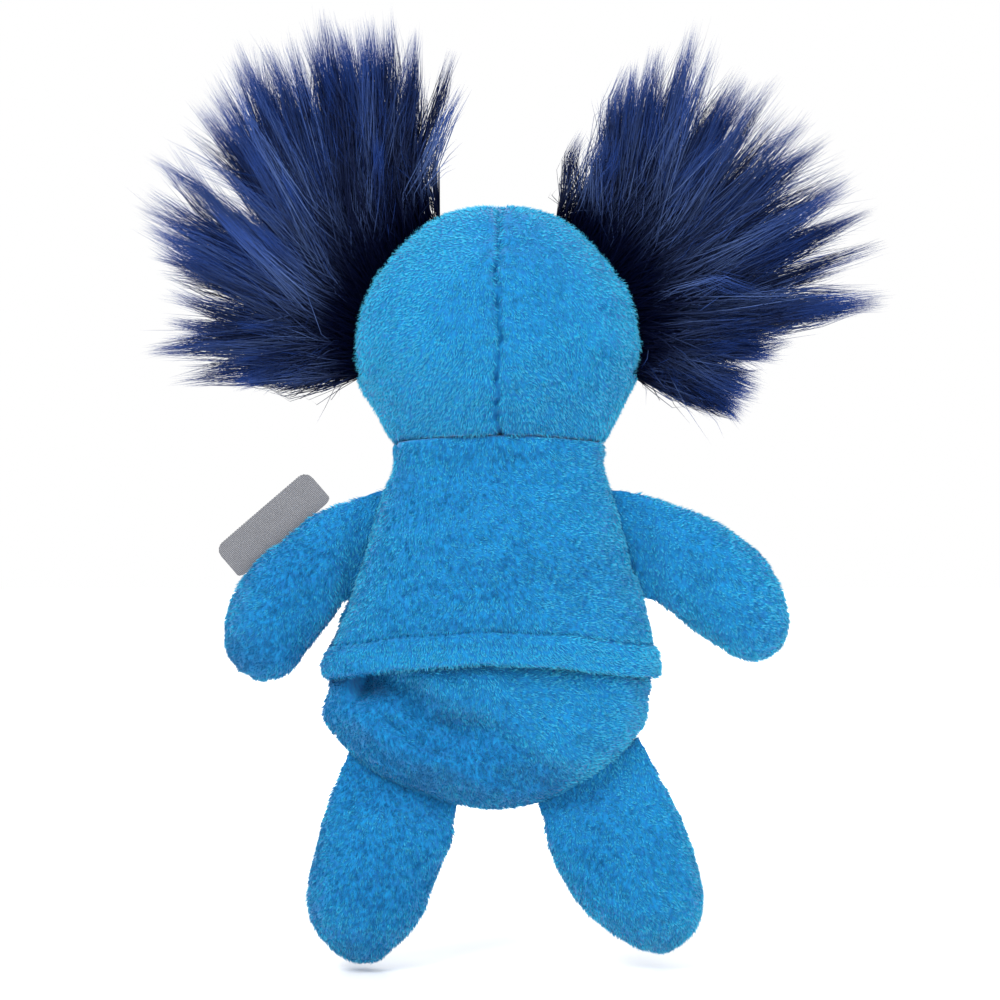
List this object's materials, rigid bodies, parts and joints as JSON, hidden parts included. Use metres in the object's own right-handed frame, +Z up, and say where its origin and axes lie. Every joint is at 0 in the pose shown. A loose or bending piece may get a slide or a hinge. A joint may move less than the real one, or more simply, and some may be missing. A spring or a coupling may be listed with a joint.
{
  "type": "moving mouth hand puppet",
  "caption": "Plush hand puppet with a moving mouth, an envelope opening for the hand in its back, stuffed arms and legs and fur tufts on its head.",
  "frame": {"origin": "middle of the hand opening, under the hem of the back, at the level where the hand goes in", "axes": "+Z up through the head, the puppet faces -Y and its back is +Y, its left side is +X"},
  "size_m": [0.295, 0.0876, 0.3782],
  "materials": {
    "plush_blue": "short pile plush",
    "plush_navy": "short pile plush",
    "fur_navy": "long pile fur",
    "stuffing": "polyester fibre",
    "lining": "woven lining",
    "felt_red": "felt",
    "felt_pink": "felt",
    "felt_white": "felt",
    "mouth_board": "uncoated board",
    "eye_black": "gloss",
    "washer_white": "moulded",
    "label_grey": "woven satin"
  },
  "bodies": {
    "torso": {"torso_front_panel": "plush_blue", "torso_back_panel": "plush_blue", "hem_fold": "plush_blue", "seat_panel": "plush_blue", "seat_stuffing": "stuffing"},
    "head": {"head_back_left_panel": "plush_blue", "head_back_right_panel": "plush_blue", "face_panel": "plush_blue", "throat_panel": "plush_blue", "head_stuffing": "stuffing", "finger_pocket": "lining", "palate_felt": "felt_red", "mouth_board_upper": "mouth_board", "mouth_fold": "felt_red", "eye_patch_left": "felt_white", "eye_patch_right": "felt_white", "eye_left": "eye_black", "eye_right": "eye_black", "eye_washer_left": "washer_white", "eye_washer_right": "washer_white", "nose": "plush_navy", "hair_left": "fur_navy", "hair_right": "fur_navy"},
    "jaw": {"chin_panel": "plush_blue", "jaw_gusset": "plush_blue", "jaw_stuffing": "stuffing", "jaw_felt": "felt_red", "mouth_board_lower": "mouth_board", "tongue": "felt_pink"},
    "label": {"label": "label_grey"},
    "arm_left": {"arm_left_front_panel": "plush_blue", "arm_left_back_panel": "plush_blue", "arm_left_stuffing": "stuffing"},
    "arm_right": {"arm_right_front_panel": "plush_blue", "arm_right_back_panel": "plush_blue", "arm_right_stuffing": "stuffing"},
    "leg_left": {"leg_left_front_panel": "plush_blue", "leg_left_back_panel": "plush_blue", "leg_left_stuffing": "stuffing"},
    "leg_right": {"leg_right_front_panel": "plush_blue", "leg_right_back_panel": "plush_blue", "leg_right_stuffing": "stuffing"}
  },
  "joints": [
    {"name": "head_nod", "type": "hinge", "parent": "torso", "child": "head", "pos_m": [0, 0, 0.084], "axis": [1, 0, 0], "range_deg": [-12, 12], "stiffness_Nm_per_rad": 0.2},
    {"name": "jaw_open", "type": "hinge", "parent": "head", "child": "jaw", "pos_m": [0, -0.004, 0.118], "axis": [1, 0, 0], "range_deg": [0, 38], "stiffness_Nm_per_rad": 0.1, "springref_deg": -5.73},
    {"name": "arm_left_swing", "type": "hinge", "parent": "torso", "child": "arm_left", "pos_m": [0.0528, 0, 0.04225], "axis": [0.3024, 0, -0.9532], "range_deg": [-45, 60], "stiffness_Nm_per_rad": 0.01},
    {"name": "arm_right_swing", "type": "hinge", "parent": "torso", "child": "arm_right", "pos_m": [-0.0528, 0, 0.04225], "axis": [0.3024, 0, 0.9532], "range_deg": [-45, 60], "stiffness_Nm_per_rad": 0.01},
    {"name": "leg_left_swing", "type": "hinge", "parent": "torso", "child": "leg_left", "pos_m": [0.0371, 0, -0.0505], "axis": [-0.8389, 0, -0.5443], "range_deg": [-45, 60]},
    {"name": "leg_right_swing", "type": "hinge", "parent": "torso", "child": "leg_right", "pos_m": [-0.0371, 0, -0.0505], "axis": [-0.8389, 0, 0.5443], "range_deg": [-45, 60]},
    {"name": "label_flap", "type": "hinge", "parent": "arm_left", "child": "label", "pos_m": [0.0866, 0, 0.04415], "axis": [0.7505, 0, -0.6609], "range_deg": [-42, 42], "stiffness_Nm_per_rad": 0.001}
  ]
}
